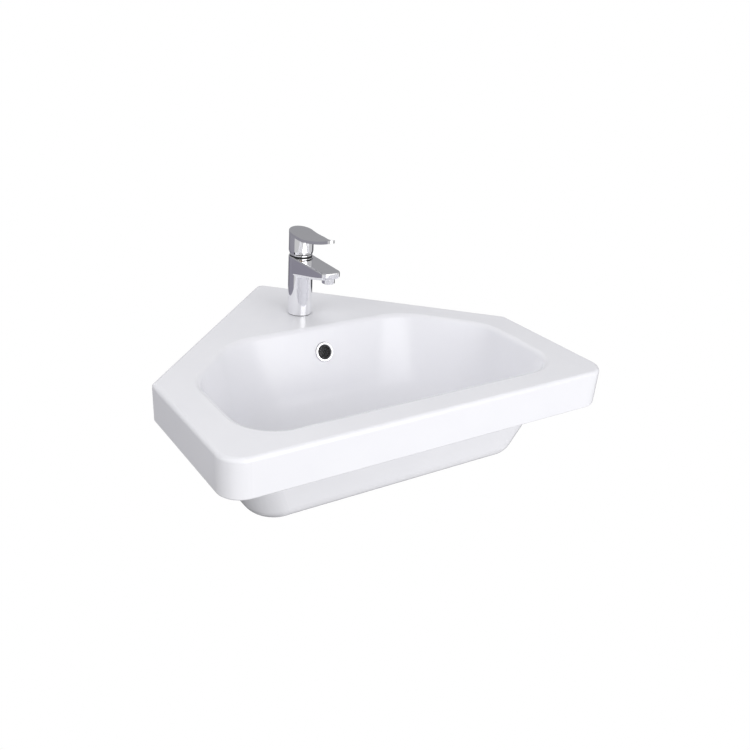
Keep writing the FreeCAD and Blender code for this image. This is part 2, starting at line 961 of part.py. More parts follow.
enter(TAP)

at_tap = dict(y="-tap_from_corner")
aerator_seat = "(tap_height - aerator_seat_depth)"
column = turned(
    "tap_column",
    [
        ("0", "base_gasket_thickness"),
        ("tap_radius", "base_gasket_thickness"),
        ("tap_radius", "tap_height - tap_edge"),
        ("tap_radius - tap_edge", "tap_height"),
        ("0", "tap_height"),
    ],
    **at_tap,
)
spout_side = extruded(
    "spout_side",
    [
        ("0", "tap_height"),
        ("-spout_reach", "tap_height"),
        ("-spout_reach", "tap_height - spout_tip_thickness"),
        ("0", "tap_height - spout_root_thickness"),
    ],
    "spout_root_half_width * 3",
    "YZ_Plane",
    **at_tap,
)
root_half = number("spout_root_half_width")
tip_half = number("spout_tip_half_width")
spout_tip = -number("spout_reach")
tip_radius = number("spout_corner_radius")
spout_outline = rounded_outline(
    [(root_half, 0), (-root_half, 0), (-tip_half, spout_tip), (tip_half, spout_tip)],
    [0, 0, tip_radius, tip_radius],
    0,
)
spout_plan = solid(
    "spout_plan",
    Part.Face(spout_outline).extrude(FreeCAD.Vector(0, 0, number("tap_height * 1.5"))),
)
place(spout_plan, **at_tap)
spout_plain = common("spout_plain", spout_side, spout_plan)


def runs_round_spout(edge):
    """Edges that run forwards or round the nose, clear of the column's middle."""
    limits = edge.BoundBox
    upright = limits.XLength < 0.1 and limits.YLength < 0.1
    behind = limits.YMin > -number("tap_from_corner") - 1
    return not upright and not behind


def on_spout_top(edge):
    """The edges round the top of the spout."""
    return runs_round_spout(edge) and edge.BoundBox.ZMin > number("tap_height") - 0.1


def on_spout_belly(edge):
    """The edges round the underside of the spout."""
    return runs_round_spout(edge) and edge.BoundBox.ZMax < number("tap_height") - 1


spout_topped = rounded("spout_topped", spout_plain, "spout_edge_radius", on_spout_top)

# The underside is rounded more at the root of the spout than at its nose.
document.recompute()
spout = document.addObject("Part::Fillet", "spout")
spout.Base = spout_topped
belly_edges = []
for index, edge in enumerate(spout_topped.Shape.Edges, start=1):
    if on_spout_belly(edge):
        ends = [edge.Vertexes[0].Y, edge.Vertexes[-1].Y]
        at_root = [y > -number("tap_from_corner") - 1 for y in ends]
        radii = [number("spout_root_radius" if root else "spout_nose_radius") for root in at_root]
        belly_edges.append((index, *radii))
spout.Edges = belly_edges
tap_outside = fuse("tap_outside", column, spout)
waterway_roof = "(tap_height - waterway_cover)"
waterway_fall = "((aerator_reach - chamber_radius + 1) * tan(waterway_angle))"
waterway = extruded(
    "waterway",
    [
        ("-aerator_reach", waterway_roof),
        ("-aerator_reach", f"{waterway_roof} - waterway_height"),
        ("1 - chamber_radius", f"{waterway_roof} - waterway_height - {waterway_fall}"),
        ("1 - chamber_radius", f"{waterway_roof} - {waterway_fall}"),
    ],
    "waterway_width",
    "YZ_Plane",
    **at_tap,
)
aerator_at = "-tap_from_corner - aerator_reach"
aerator_roof = f"({aerator_seat} + aerator_thread_length + aerator_seal_thickness)"
tap_cuts = [
    cylinder(
        "lock_bore",
        "lock_thread_radius",
        "lock_thread_depth + 1",
        z="tap_height - lock_thread_depth",
        **at_tap,
    ),
    cylinder(
        "chamber",
        "chamber_radius",
        "chamber_depth",
        z="tap_height - chamber_depth",
        **at_tap,
    ),
    cylinder(
        "stud_hole",
        "stud_radius + thread_clearance",
        "port_depth",
        y="-tap_from_corner - stud_front",
    ),
    cylinder("aerator_pocket", "aerator_radius + moving_clearance", aerator_seat, y=aerator_at),
    cylinder("aerator_thread", "aerator_thread_radius", aerator_roof, y=aerator_at),
    cylinder("aerator_well", "aerator_radius - 2", waterway_roof, y=aerator_at),
    waterway,
]
for side_name, side in (("left", "-1"), ("right", "1")):
    inlets = dict(y="-tap_from_corner + port_back")
    port_x = f"{side} * port_half_spacing"
    channel_x = f"{side} * channel_half_spacing"
    channel_top = "tap_height - chamber_depth + 1"
    port = cylinder(f"{side_name}_port", "port_radius", "port_depth", x=port_x, **inlets)
    channel = cylinder(
        f"{side_name}_channel", "channel_radius", channel_top, x=channel_x, **inlets
    )
    tap_cuts += [port, channel]
node("tap_body", cut("tap_bored", tap_outside, *tap_cuts))
node(
    "base_gasket",
    ring(
        "foot_gasket",
        "tap_radius - 0.6 - base_gasket_width",
        "tap_radius - 0.6",
        "0",
        "base_gasket_thickness",
        **at_tap,
    ),
)

# ------------------------------------------------------------------ tap clamp under the deck
CLAMP = {
    "clamp_radius": 24,
    "clamp_slot_radius": 12.2,
    "clamp_gasket_thickness": 2.5,
    "clamp_plate_thickness": 2,
    "clamp_nut_flats": 10,
    "clamp_nut_height": 5,
}
enter(CLAMP)

stud_at = "-tap_from_corner - stud_front"
node(
    "tap_stud",
    cylinder("stud", "stud_radius", "stud_length", y=stud_at, z="port_depth - stud_length"),
)


def clamp_disc(name, thickness, under):
    """A round clamp with a slot to the back for the hoses and a hole for the stud."""
    slot_width = "clamp_slot_radius * 2"
    disc = cylinder(name + "_disc", "clamp_radius", thickness, z=under, **at_tap)
    eye = cylinder(
        name + "_eye",
        "clamp_slot_radius",
        f"{thickness} + 2",
        y="-tap_from_corner + port_back + 1",
        z=f"{under} - 1",
    )
    slot = box(
        name + "_slot",
        slot_width,
        "clamp_radius",
        f"{thickness} + 2",
        y="-tap_from_corner + port_back + 1 + clamp_radius / 2",
        z=f"{under} - 1",
    )
    hole = cylinder(
        name + "_hole",
        "stud_radius + moving_clearance",
        f"{thickness} + 2",
        y=stud_at,
        z=f"{under} - 1",
    )
    return cut(name + "_cut", disc, eye, slot, hole)


gasket_under = "(-deck_thickness - clamp_gasket_thickness)"
plate_under = f"({gasket_under} - clamp_plate_thickness)"
node("clamp_gasket", clamp_disc("soft_clamp", "clamp_gasket_thickness", gasket_under))
node("clamp_plate", clamp_disc("steel_clamp", "clamp_plate_thickness", plate_under))
nut_under = f"{plate_under} - clamp_nut_height"
nut_blank = hexagon("nut_blank", "clamp_nut_flats", "clamp_nut_height", y=stud_at, z=nut_under)
nut_bore = cylinder(
    "nut_bore",
    "stud_radius + thread_clearance",
    "clamp_nut_height + 2",
    y=stud_at,
    z=f"{nut_under} - 1",
)
node("clamp_nut", cut("nut_bored", nut_blank, nut_bore))

# ------------------------------------------------------------------ aerator in the spout's nose
AERATOR = {
    "insert_height": 6,
    "insert_hole_radius": 1.3,
    "insert_hole_ring": 4.4,
}
enter(AERATOR)

housing_foot = f"({aerator_seat} - aerator_drop)"
aerator_bore = "(aerator_thread_radius - aerator_wall)"
node(
    "aerator_housing",
    turned(
        "aerator_sleeve",
        [
            (f"{aerator_bore} - 1", housing_foot),
            ("aerator_radius - 0.6", housing_foot),
            ("aerator_radius", f"{housing_foot} + 0.6"),
            ("aerator_radius", aerator_seat),
            ("aerator_thread_radius - thread_clearance", aerator_seat),
            (
                "aerator_thread_radius - thread_clearance",
                f"{aerator_seat} + aerator_thread_length",
            ),
            (aerator_bore, f"{aerator_seat} + aerator_thread_length"),
            (aerator_bore, f"{housing_foot} + 1.5"),
            (f"{aerator_bore} - 1", f"{housing_foot} + 1.5"),
        ],
        y=aerator_at,
    ),
)
insert_foot = f"({housing_foot} + 1.5)"
insert_blank = cylinder(
    "insert_blank", f"{aerator_bore} - 0.1", "insert_height", y=aerator_at, z=insert_foot
)
insert_holes = [
    cylinder(
        "middle_jet",
        "insert_hole_radius",
        "insert_height + 2",
        y=aerator_at,
        z=f"{insert_foot} - 1",
    )
]
for step in range(8):
    insert_holes.append(
        cylinder(
            f"jet_{step}",
            "insert_hole_radius",
            "insert_height + 2",
            x=f"insert_hole_ring * cos({45 * step})",
            y=f"{aerator_at} + insert_hole_ring * sin({45 * step})",
            z=f"{insert_foot} - 1",
        )
    )
node("aerator_insert", cut("insert_drilled", insert_blank, *insert_holes))
node(
    "aerator_seal",
    ring(
        "jet_seal",
        "aerator_radius - 2",
        "aerator_thread_radius - 0.1",
        f"{aerator_seat} + aerator_thread_length",
        "aerator_seal_thickness",
        y=aerator_at,
    ),
)

# ------------------------------------------------------------------ ceramic cartridge
CARTRIDGE = {
    "pivot_height": 92,
    "cartridge_radius": 11.9,
    "cartridge_bore": 10.8,
    "collar_radius": 13.8,
    "collar_thickness": 2.5,
    "hat_radius": 11.6,
    "hat_height": 12.6,
    "hat_bore": 9.1,
    "shoulder_height": 5.2,
    "seal_ring_thickness": 0.8,
    "base_flange_thickness": 1.4,
    "base_plug_height": 4.5,
    "fixed_disc_thickness": 3,
    "moving_disc_thickness": 3.4,
    "disc_contact": 0.05,
    "moving_disc_radius": 8.8,
    "disc_back": 1.6,
    "outlet_front": 4.6,
    "outlet_radius": 2.6,
    "o_ring_wire": 0.75,
    "window_half_width": 5,
    "window_height": 3,
}
enter(CARTRIDGE)

chamber_floor = "(tap_height - chamber_depth)"
ledge = "(tap_height - lock_thread_depth)"
base_foot = f"({chamber_floor} + seal_ring_thickness)"
base_step = f"({base_foot} + base_flange_thickness)"
fixed_foot = f"({base_step} + base_plug_height)"
moving_foot = f"({fixed_foot} + fixed_disc_thickness + disc_contact)"
carrier_foot = f"({moving_foot} + moving_disc_thickness)"
groove_level = f"({ledge} - 3)"


def inlet_pair(name, radius, foot, height):
    """Two upright bores over the hot and cold channels."""
    bores = []
    for side_name, side in (("left", "-1"), ("right", "1")):
        bores.append(
            cylinder(
                f"{name}_{side_name}",
                radius,
                height,
                x=f"{side} * channel_half_spacing",
                y="-tap_from_corner + port_back",
                z=foot,
            )
        )
    return bores


housing_blank = turned(
    "housing_blank",
    [
        ("cartridge_bore", base_step),
        ("cartridge_radius", base_step),
        ("cartridge_radius", f"{groove_level} - o_ring_wire"),
        ("cartridge_radius - 0.6", f"{groove_level} - o_ring_wire"),
        ("cartridge_radius - 0.6", f"{groove_level} + o_ring_wire"),
        ("cartridge_radius", f"{groove_level} + o_ring_wire"),
        ("cartridge_radius", ledge),
        ("collar_radius", ledge),
        ("collar_radius", f"{ledge} + collar_thickness"),
        ("hat_radius", f"{ledge} + collar_thickness"),
        ("hat_radius", f"{ledge} + hat_height"),
        ("hat_bore", f"{ledge} + hat_height"),
        ("hat_bore", f"{ledge} + shoulder_height"),
        ("cartridge_bore", f"{ledge} + shoulder_height"),
    ],
    **at_tap,
)
housing_window = box(
    "housing_window",
    "window_half_width * 2",
    "cartridge_radius",
    "window_height",
    y="-tap_from_corner - cartridge_radius",
    z=f"{base_step} + 0.5",
)
node("cartridge_housing", cut("housing_windowed", housing_blank, housing_window))
base_blank = turned(
    "base_blank",
    [
        ("0", base_foot),
        ("cartridge_radius", base_foot),
        ("cartridge_radius", base_step),
        ("cartridge_bore - 0.1", base_step),
        ("cartridge_bore - 0.1", fixed_foot),
        ("0", fixed_foot),
    ],
    **at_tap,
)
outlet_y = "-tap_from_corner - outlet_front"
base_outlet = cylinder(
    "base_outlet", "outlet_radius", "base_plug_height", y=outlet_y, z=f"{base_step} + 0.5"
)
base_exit = box(
    "base_exit",
    "window_half_width * 2",
    "cartridge_bore",
    "window_height",
    y=f"{outlet_y} - cartridge_bore / 2",
    z=f"{base_step} + 0.5",
)
base_inlets = inlet_pair("base_inlet", "channel_radius", base_foot + " - 1", "chamber_depth / 2")
node("cartridge_base", cut("base_ported", base_blank, base_outlet, base_exit, *base_inlets))
seal_outsides = inlet_pair(
    "seal_outside", "channel_radius + 1.2", chamber_floor, "seal_ring_thickness"
)
seal_bores = inlet_pair(
    "seal_bore", "channel_radius + 0.2", chamber_floor + " - 1", "seal_ring_thickness + 2"
)
for side_name, outside, bore in zip(("left", "right"), seal_outsides, seal_bores):
    node(f"{side_name}_inlet_seal", cut(f"{side_name}_seal_ring", outside, bore))
node(
    "cartridge_o_ring",
    torus(
        "o_ring",
        "(cartridge_radius + chamber_radius - 0.6) / 2",
        "o_ring_wire - 0.02",
        z=groove_level,
        **at_tap,
    ),
)
fixed_blank = cylinder(
    "fixed_blank", "cartridge_bore - 0.3", "fixed_disc_thickness", z=fixed_foot, **at_tap
)
fixed_outlet = cylinder(
    "fixed_outlet", "outlet_radius", "chamber_depth / 2", y=outlet_y, z=base_step
)
fixed_inlets = inlet_pair("fixed_inlet", "channel_radius", base_step, "chamber_depth / 2")
node("fixed_disc", cut("fixed_ported", fixed_blank, fixed_outlet, *fixed_inlets))
moving_blank = cylinder(
    "moving_blank",
    "moving_disc_radius",
    "moving_disc_thickness",
    y="-tap_from_corner + disc_back",
    z=moving_foot,
)
moving_cavity = box(
    "moving_cavity",
    "moving_disc_radius",
    "moving_disc_radius * 1.1",
    "moving_disc_thickness / 2 + 1",
    y="-tap_from_corner + disc_back - 0.6",
    z=f"{moving_foot} - 1",
)
node("moving_disc", cut("moving_hollowed", moving_blank, moving_cavity))

# ------------------------------------------------------------------ turret, lever stem and carrier
TURRET = {
    "lift_angle": 22,
    "ball_drop": 7.5,
    "ball_radius": 3.2,
    "stem_neck_radius": 2.4,
    "stem_radius": 3.4,
    "stem_square": 7,
    "stem_top": 120,
    "square_foot": 97,
    "pin_radius": 1.5,
    "turret_radius": 8.8,
    "turret_flange_radius": 10.5,
    "turret_flange_height": 2.9,
    "turret_top": 98.5,
    "turret_slot": 7.8,
    "carrier_half_width": 7.6,
    "tab_half_width": 4,
}
enter(TURRET)

ball_level = "(pivot_height - ball_drop)"
carrier_top = f"({ball_level} + 1)"
turret_foot = f"({carrier_top} + 0.5)"
carrier_blank = common(
    "carrier_blank",
    cylinder(
        "carrier_round",
        "moving_disc_radius",
        f"{carrier_top} - {carrier_foot}",
        y="-tap_from_corner + disc_back",
        z=carrier_foot,
    ),
    box(
        "carrier_block",
        "carrier_half_width * 2",
        "moving_disc_radius * 3",
        f"{carrier_top} - {carrier_foot}",
        z=carrier_foot,
        **at_tap,
    ),
)
carrier_pocket = cylinder(
    "carrier_pocket",
    "ball_radius + moving_clearance",
    "ball_radius * 2 + 2",
    z=f"{ball_level} - ball_radius - moving_clearance",
    **at_tap,
)
node("disc_carrier", cut("carrier_pocketed", carrier_blank, carrier_pocket))
turret_round = turned(
    "turret_round",
    [
        ("0", turret_foot),
        ("turret_flange_radius", turret_foot),
        ("turret_flange_radius", f"{turret_foot} + turret_flange_height"),
        ("turret_radius", f"{turret_foot} + turret_flange_height"),
        ("turret_radius", "turret_top"),
        ("0", "turret_top"),
    ],
    **at_tap,
)
turret_tabs = []
for side_name, side in (("left", "-1"), ("right", "1")):
    turret_tabs.append(
        box(
            f"{side_name}_tab",
            "turret_flange_radius - carrier_half_width - moving_clearance - 0.9",
            "tab_half_width * 2",
            f"{turret_foot} - {carrier_foot} - 1",
            x=f"{side} * (turret_flange_radius + carrier_half_width + moving_clearance - 0.9) / 2",
            z=f"{carrier_foot} + 1.5",
            **at_tap,
        )
    )
turret_solid = fuse("turret_solid", turret_round, *turret_tabs)
slot_side = "(stem_radius + moving_clearance + 0.4)"
turret_gap = extruded(
    "turret_gap",
    [
        (f"-{slot_side} - ball_drop * tan(lift_angle) * 0.75", f"{turret_foot} - 1"),
        (f"-{slot_side} - ball_drop * tan(lift_angle) * 0.75", "pivot_height - 4"),
        (f"-{slot_side}", "pivot_height"),
        (f"-{slot_side}", "turret_top + 1"),
        (f"{slot_side} + (turret_top + 1 - pivot_height) * tan(lift_angle)", "turret_top + 1"),
        (slot_side, "pivot_height"),
        (slot_side, f"{turret_foot} - 1"),
    ],
    "turret_slot",
    "YZ_Plane",
    **at_tap,
)


def pin_bore(name, radius, length):
    """A cylinder along X through the pivot of the lever."""
    return cross_cylinder(
        name,
        radius,
        length,
        x=f"-({length}) / 2",
        z="pivot_height",
        axis=(0, 1, 0),
        **at_tap,
    )


turret_bore = pin_bore("turret_bore", "pin_radius + thread_clearance", "turret_radius * 3")
node("turret", cut("turret_slotted", turret_solid, turret_gap, turret_bore))
node("stem_pin", pin_bore("pin", "pin_radius", "turret_radius * 2 - 1"))
stem_shaft = turned(
    "stem_shaft",
    [
        ("0", ball_level),
        ("stem_neck_radius", ball_level),
        ("stem_neck_radius", "pivot_height - 4"),
        ("stem_radius", "pivot_height - 3"),
        ("stem_radius", "square_foot"),
        ("0", "square_foot"),
    ],
    **at_tap,
)
stem_ball = document.addObject("Part::Sphere", "stem_ball")
bind(stem_ball, Radius="ball_radius")
place(stem_ball, z=ball_level, **at_tap)
stem_head = box(
    "stem_head",
    "stem_square",
    "stem_square",
    "stem_top - square_foot",
    z="square_foot",
    **at_tap,
)
stem_solid = fuse("stem_solid", stem_shaft, stem_ball, stem_head)
stem_bore = pin_bore("stem_bore", "pin_radius + 0.1", "turret_radius * 2")
node("lever_stem", cut("stem_bored", stem_solid, stem_bore))

# ------------------------------------------------------------------ lock nut and neck rings
LOCK_NUT = {
    "lock_nut_height": 6.4,
    "lock_slot_width": 3,
    "lock_slot_depth": 2,
    "glide_width": 2.7,
    "glide_thickness": 2,
    "neck_ring_radius": 17.6,
    "neck_ring_thickness": 1.6,
    "neck_collar_length": 5,
    "neck_collar_wall": 1.8,
}
enter(LOCK_NUT)

lock_foot = f"({ledge} + collar_thickness)"
lock_blank = ring(
    "lock_blank",
    "hat_radius + 0.2",
    "lock_thread_radius - thread_clearance",
    lock_foot,
    "lock_nut_height",
    **at_tap,
)
lock_slots = []
for direction, sides in (
    ("across", ("lock_thread_radius * 3", "lock_slot_width")),
    ("along", ("lock_slot_width", "lock_thread_radius * 3")),
):
    lock_slots.append(
        box(
            f"lock_slot_{direction}",
            *sides,
            "lock_slot_depth + 1",
            z=f"{lock_foot} + lock_nut_height - lock_slot_depth",
            **at_tap,
        )
    )
node("lock_nut", cut("lock_slotted", lock_blank, *lock_slots))
node(
    "glide_ring",
    ring(
        "glide",
        "lock_thread_radius + 0.3",
        "lock_thread_radius + 0.3 + glide_width",
        "tap_height",
        "glide_thickness",
        **at_tap,
    ),
)
neck_top = "(tap_height + glide_thickness + neck_ring_thickness)"
neck_bore = "(hat_radius + thread_clearance)"
node(
    "neck_ring",
    turned(
        "neck_collar",
        [
            (neck_bore, f"{neck_top} - neck_collar_length"),
            (f"{neck_bore} + neck_collar_wall", f"{neck_top} - neck_collar_length"),
            (f"{neck_bore} + neck_collar_wall", "tap_height + glide_thickness"),
            ("neck_ring_radius", "tap_height + glide_thickness"),
            ("neck_ring_radius", f"{neck_top} - 0.5"),
            ("neck_ring_radius - 0.5", neck_top),
            (neck_bore, neck_top),
        ],
        **at_tap,
    ),
)

# ------------------------------------------------------------------ handle: a sleeve under a tongue
HANDLE = {
    "handle_radius": 19.1,
    "handle_wall": 2.8,
    "handle_gap": 5.2,
    "handle_foot_inset": 0.8,
    "handle_foot_rise": 3.7,
    "handle_roof": 123,
    "tongue_half_width": 19.2,
    "tongue_tip_half_width": 5.2,
    "tongue_straight": 38,
    "tongue_length": 93,
    "tongue_bend_radius": 60,
    "tongue_tip_radius": 6.4,
    "tongue_sag_front": 25,
    "tongue_sag_height": 131.3,
    "tongue_sag_radius": 200,
    "tongue_thickness": 4.5,
    "relief_start": 1.5,
    "relief_angle": 24,
    "handle_boss_radius": 7,
    "handle_boss_foot": 104,
    "socket_clearance": 0.1,
    "grub_height": 116,
    "grub_radius": 2.5,
    "grub_length": 6,
    "cap_radius": 3,
    "cap_thickness": 2.4,
}
enter(HANDLE)

handle_foot = "(tap_height + handle_gap)"
sleeve_outside = turned(
    "sleeve_outside",
    [
        ("0", handle_foot),
        ("handle_radius - handle_foot_inset", handle_foot),
        ("handle_radius", f"{handle_foot} + handle_foot_rise"),
        ("handle_radius", "tongue_sag_height + 20"),
        ("0", "tongue_sag_height + 20"),
    ],
    **at_tap,
)


def tongue_outline():
    """Round behind, straight along the sides, then tapered to a rounded tip."""
    half = number("tongue_half_width")
    tip = number("tongue_tip_half_width")
    bend = -number("tongue_straight")
    front = -number("tongue_length")
    right = [(half, half), (half, bend), (tip, front)]
    left = [(-x, y) for x, y in reversed(right)]
    radii = [half - 0.1, number("tongue_bend_radius"), number("tongue_tip_radius")]
    return rounded_outline(right + left, radii + list(reversed(radii)), 0)


tongue_plan = solid(
    "tongue_plan",
    Part.Face(tongue_outline()).extrude(FreeCAD.Vector(0, 0, number("tongue_length"))),
)
place(tongue_plan, z="tap_height", **at_tap)


def sag_cylinder(name, radius):
    """A cylinder along X whose lowest line is the lowest line of the tongue's top."""
    return cross_cylinder(
        name,
        radius,
        "tongue_half_width * 4",
        x="-tongue_half_width * 2",
        y="-tap_from_corner - tongue_sag_front",
        z="tongue_sag_height + tongue_sag_radius",
        axis=(0, 1, 0),
    )


tongue = common(
    "tongue",
    tongue_plan,
    sag_cylinder("tongue_underside", "tongue_sag_radius + tongue_thickness"),
)
handle_cavity = cylinder(
    "handle_cavity",
    "handle_radius - handle_wall",
    f"handle_roof - {handle_foot} + 1",
    z=f"{handle_foot} - 1",
    **at_tap,
)
handle_boss = cylinder(
    "handle_boss",
    "handle_boss_radius",
    "handle_roof + 1 - handle_boss_foot",
    z="handle_boss_foot",
    **at_tap,
)
relief = extruded(
    "handle_relief",
    [
        ("relief_start", f"{handle_foot} - 1"),
        ("handle_radius * 2", f"{handle_foot} - 1"),
        (
            "handle_radius * 2",
            f"{handle_foot} + (handle_radius * 2 - relief_start) * tan(relief_angle)",
        ),
        ("relief_start", handle_foot),
    ],
    "handle_radius * 3",
    "YZ_Plane",
    **at_tap,
)
socket = box(
    "stem_socket",
    "stem_square + socket_clearance * 2",
    "stem_square + socket_clearance * 2",
    "stem_top + socket_clearance - handle_boss_foot + 1",
    z="handle_boss_foot - 1",
    **at_tap,
)


def grub_bore(name, radius, front, length):
    """A cylinder along Y at the grub screw's height, whose front end is ahead of the axis."""
    return cross_cylinder(
        name,
        radius,
        length,
        y=f"-tap_from_corner - ({front}) + ({length})",
        z="grub_height",
    )


grub_front = "stem_square / 2 + socket_clearance + grub_length"
handle_solid = fuse("handle_solid", sleeve_outside, tongue)
handle_topped = cut("handle_topped", handle_solid, sag_cylinder("tongue_top", "tongue_sag_radius"))
handle_hollow = cut("handle_hollow", handle_topped, handle_cavity)
handle_bossed = fuse("handle_bossed", handle_hollow, handle_boss)
handle_bores = [
    relief,
    socket,
    grub_bore("grub_hole", "grub_radius + thread_clearance", grub_front, "grub_length + 1"),
    grub_bore("cap_hole", "cap_radius + thread_clearance", "handle_radius + 1", "cap_thickness + 2"),
]
node("handle", cut("handle_bored", handle_bossed, *handle_bores))
node("grub_screw", grub_bore("grub", "grub_radius", grub_front, "grub_length"))
node("index_cap", grub_bore("cap", "cap_radius", "handle_radius", "cap_thickness"))

# ------------------------------------------------------------------ checks and export
document.recompute()
for item in document.Objects:
    if "Invalid" in item.State or "Error" in item.State:
        raise RuntimeError(f"{item.Label} did not rebuild: {item.State}")
for name, feature in nodes.items():
    if feature.Shape.isNull() or not feature.Shape.isValid():
        raise RuntimeError(f"{name} has no valid shape")
    if len(feature.Shape.Solids) != 1:
        raise RuntimeError(f"{name} is not one solid")
os.makedirs("parts", exist_ok=True)
for name, feature in nodes.items():
    feature.Shape.exportStep(f"parts/{name}.step")
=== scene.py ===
import math

import bpy
from mathutils import Matrix, Vector

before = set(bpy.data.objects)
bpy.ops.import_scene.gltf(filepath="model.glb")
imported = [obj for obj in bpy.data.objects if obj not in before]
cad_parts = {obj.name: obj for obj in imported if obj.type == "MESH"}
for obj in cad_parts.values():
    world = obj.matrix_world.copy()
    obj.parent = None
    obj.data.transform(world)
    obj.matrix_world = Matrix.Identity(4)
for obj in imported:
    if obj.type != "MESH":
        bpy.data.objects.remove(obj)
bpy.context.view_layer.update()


# ---------------------------------------------------------------- basin
# The basin is slip-cast vitreous china, dipped in white glaze and fired. It hangs from two
# bolts through the flanges under its deck, with its two long back faces against the walls.
def srgb(code):
    """A hex colour such as "f4f4f2" as the linear colour that a shader takes."""
    channels = [int(code[place : place + 2], 16) / 255 for place in (0, 2, 4)]
    return [c / 12.92 if c <= 0.04045 else ((c + 0.055) / 1.055) ** 2.4 for c in channels] + [1]


def add(tree, kind, sockets=None, **settings):
    """A shader node with its settings, and its sockets given a value or a link.

    A node whose name is the kind is taken again where the tree has one. That reaches the nodes
    that a new tree starts with, and it means that a second Math or Bump is the first one.
    """
    node = tree.nodes[kind] if kind in tree.nodes else tree.nodes.new("ShaderNode" + kind)
    for name, value in settings.items():
        setattr(node, name, value)
    for name, value in (sockets or {}).items():
        if isinstance(value, bpy.types.NodeSocket):
            tree.links.new(value, node.inputs[name])
        else:
            node.inputs[name].default_value = value
    return node


def blank_finish(name):
    """A new material and its node tree, with Object coordinates ready for its pattern."""
    material = bpy.data.materials.new(name)
    material.use_nodes = True
    tree = material.node_tree
    return material, tree, add(tree, "TexCoord").outputs["Object"]


def dress(material, *names):
    """Give pieces that keep their CAD shape their material."""
    for name in names:
        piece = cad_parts[name]
        piece.data.materials.clear()
        piece.data.materials.append(material)


# White glaze: glassy, with a very faint long ripple from the firing that softens what it
# mirrors, and a hardly visible cool mottle where the glaze lies thinner on the clay.
MOTTLE_SIZE = 0.07
RIPPLE_SIZE = 0.016
RIPPLE_HEIGHT = 0.0004
white_glaze, tree, place = blank_finish("white glaze")
mottle = add(tree, "TexNoise", {"Vector": place, "Scale": 1 / MOTTLE_SIZE, "Detail": 3.0})
tone = add(tree, "ValToRGB", {"Fac": mottle.outputs["Fac"]})
tone.color_ramp.elements[0].color = srgb("e9e9ee")
tone.color_ramp.elements[1].color = srgb("eeeef2")
ripple = add(tree, "TexNoise", {"Vector": place, "Scale": 1 / RIPPLE_SIZE, "Detail": 1.0})
swell = add(
    tree,
    "Bump",
    {"Height": ripple.outputs["Fac"], "Strength": 0.02, "Distance": RIPPLE_HEIGHT},
)
sheen = add(
    tree,
    "MapRange",
    {"Value": mottle.outputs["Fac"], "To Min": 0.2, "To Max": 0.26},
)
add(
    tree,
    "Principled BSDF",
    {
        "Base Color": tone.outputs["Color"],
        "Roughness": sheen.outputs["Result"],
        "Normal": swell.outputs["Normal"],
        "IOR": 1.52,
    },
)
dress(white_glaze, "basin")


# ---------------------------------------------------------------- overflow
# The overflow is trimmed by a moulded ring, plated with chrome, that is pushed into its hole.
# A black moulded strainer sits in the ring and keeps hair and rings out of the duct.
CLOUD_SIZE = 0.011
WAVE_SIZE = 0.06
WAVE_HEIGHT = 0.0005


def chromed(name, colour, dull, waviness):
    """Polished chrome whose shine and flatness vary a little, as plating does."""
    material, tree, place = blank_finish(name)
    cloud = add(tree, "TexNoise", {"Vector": place, "Scale": 1 / CLOUD_SIZE, "Detail": 4.0})
    shine = add(
        tree,
        "MapRange",
        {"Value": cloud.outputs["Fac"], "To Min": dull * 0.7, "To Max": dull * 1.3},
    )
    wave = add(tree, "TexNoise", {"Vector": place, "Scale": 1 / WAVE_SIZE, "Detail": 0.0})
    swell = add(
        tree,
        "Bump",
        {"Height": wave.outputs["Fac"], "Strength": waviness, "Distance": WAVE_HEIGHT},
    )
    add(
        tree,
        "Principled BSDF",
        {
            "Base Color": srgb(colour),
            "Metallic": 1.0,
            "Roughness": shine.outputs["Result"],
            "Normal": swell.outputs["Normal"],
        },
    )
    return material


dress(chromed("plated trim", "e6e6e8", 0.12, 0.01), "overflow_ring")


def moulded(name, dark, light, grain, roughness, relief):
    """A moulded finish: grain of a real size in metres, in its tone and its surface."""
    material, tree, place = blank_finish(name)
    grains = add(tree, "TexNoise", {"Vector": place, "Scale": 1 / grain, "Detail": 6.0})
    tone = add(tree, "ValToRGB", {"Fac": grains.outputs["Fac"]})
    tone.color_ramp.elements[0].position = 0.35
    tone.color_ramp.elements[0].color = srgb(dark)
    tone.color_ramp.elements[1].position = 0.65
    tone.color_ramp.elements[1].color = srgb(light)
    skin = add(
        tree,
        "Bump",
        {"Height": grains.outputs["Fac"], "Strength": 0.4, "Distance": relief},
    )
    add(
        tree,
        "Principled BSDF",
        {
            "Base Color": tone.outputs["Color"],
            "Roughness": roughness,
            "Normal": skin.outputs["Normal"],
        },
    )
    return material


black_plastic = moulded("black moulded plastic", "101011", "19191b", 0.0009, 0.42, 0.00006)
dress(black_plastic, "overflow_strainer", "glide_ring")


# ---------------------------------------------------------------- waste
# The waste body is turned brass, plated inside and out, whose flange sits in the bowl's recess.
# The trap screws on the thread of its tail, which has eleven turns to the inch.
waste_chrome = chromed("plated waste", "e8e8ea", 0.1, 0.05)
tree = waste_chrome.node_tree
place = add(tree, "TexCoord").outputs["Object"]

